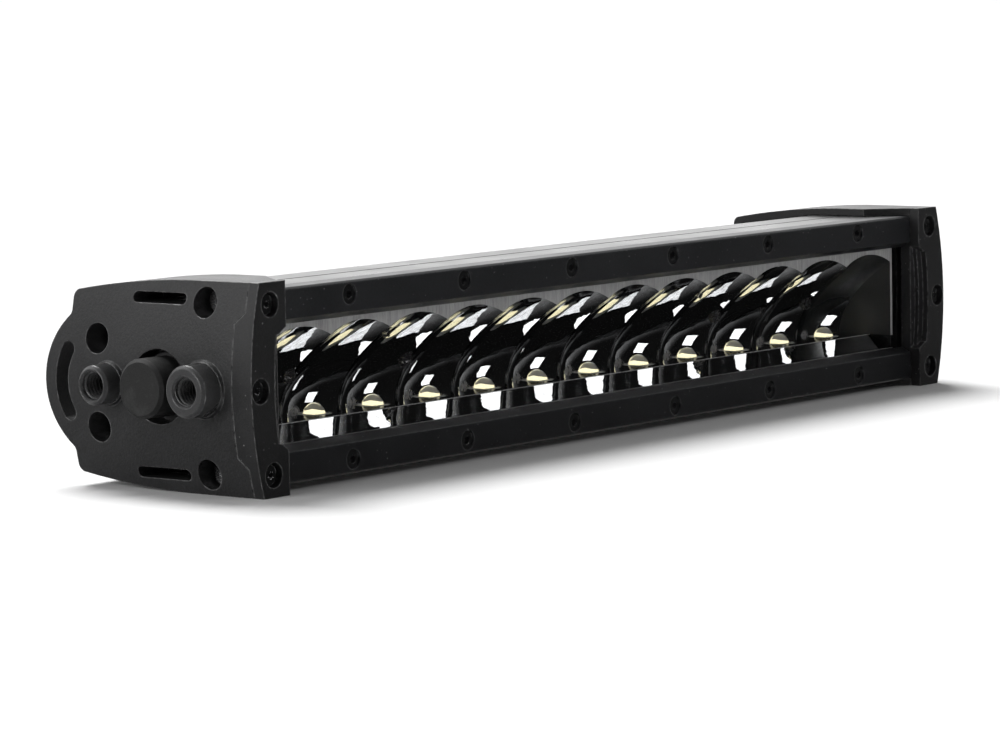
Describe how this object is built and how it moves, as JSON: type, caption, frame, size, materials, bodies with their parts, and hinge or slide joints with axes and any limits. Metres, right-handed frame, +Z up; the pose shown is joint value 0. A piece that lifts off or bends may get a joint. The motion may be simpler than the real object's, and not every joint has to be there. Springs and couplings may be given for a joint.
{
  "type": "led light bar",
  "caption": "Straight single-row LED light bar: finned housing, screwed bezel, clear lens over chromed half bowls, bulged end caps with threaded bosses and a tilt slot.",
  "frame": {"origin": "bottom centre of the whole bar, where it stands on its end caps", "axes": "+X runs along the bar to its right end, -Y is the way the light leaves, +Z is up"},
  "size_m": [0.3654, 0.0776, 0.0594],
  "materials": {
    "cap_paint": "fine-texture powder coat, satin",
    "trim_paint": "fine-texture powder coat, satin",
    "bezel_paint": "satin powder coat",
    "housing_paint": "satin black anodised extrusion",
    "clear_lens": "clear hard-coated polycarbonate",
    "reflector_chrome": "vacuum-metallised mirror",
    "gasket_rubber": "matt silicone",
    "cap_rubber": "matt moulded rubber",
    "boss_steel": "black-plated turned steel, smooth",
    "black_steel": "black oxide steel",
    "plain_steel": "zinc plated",
    "thermal_grey": "soft thermal pad",
    "board_white": "white solder mask on aluminium",
    "led_ceramic": "white ceramic",
    "led_phosphor": "yellow phosphor",
    "led_silicone": "clear silicone dome",
    "board_green": "green solder mask",
    "part_black": "moulded component",
    "ferrite_grey": "ferrite drum with a copper winding inside",
    "can_aluminium": "bright can",
    "wire_red": "red insulation",
    "wire_black": "black insulation",
    "nylon_black": "moulded nylon",
    "contact_brass": "plated contact",
    "membrane_white": "expanded PTFE sheet"
  },
  "bodies": {
    "light_bar": {"housing": "housing_paint", "bezel_top": "bezel_paint", "bezel_bottom": "bezel_paint", "bezel_screws_top": "black_steel", "bezel_screws_bottom": "black_steel", "lens": "clear_lens", "lens_gasket": "gasket_rubber", "thermal_pad": "thermal_grey", "led_board": "board_white", "board_screws": "plain_steel", "led_packages": "led_ceramic", "led_phosphors": "led_phosphor", "led_domes": "led_silicone", "reflector_left": "reflector_chrome", "reflector_middle": "reflector_chrome", "reflector_right": "reflector_chrome", "reflector_screws": "plain_steel", "driver_board": "board_green", "driver_spacers": "nylon_black", "driver_screws": "plain_steel", "driver_coils": "ferrite_grey", "driver_capacitors": "can_aluminium", "driver_chips": "part_black", "power_wire_red": "wire_red", "power_wire_black": "wire_black", "led_leads": "wire_red", "end_cap_left": "cap_paint", "end_cap_right": "cap_paint", "boss_left_front": "boss_steel", "boss_left_rear": "boss_steel", "boss_right_front": "boss_steel", "boss_right_rear": "boss_steel", "end_trim_left": "trim_paint", "end_trim_right": "trim_paint", "end_gasket_left": "gasket_rubber", "end_gasket_right": "gasket_rubber", "end_screws_left": "plain_steel", "end_screws_right": "plain_steel", "trim_screws_left": "black_steel", "trim_screws_right": "black_steel", "connector_shell": "nylon_black", "connector_insert": "nylon_black", "connector_pins": "contact_brass", "connector_nut": "nylon_black", "connector_seal": "gasket_rubber", "breather_body": "nylon_black", "breather_membrane": "membrane_white", "breather_nut": "nylon_black", "breather_seal": "gasket_rubber"},
    "power_cap": {"power_cap": "cap_rubber"}
  },
  "joints": [
    {"name": "power_cap_pull", "type": "slide", "parent": "light_bar", "child": "power_cap", "axis": [-1, 0, 0], "range_m": [0, 0.03]}
  ]
}
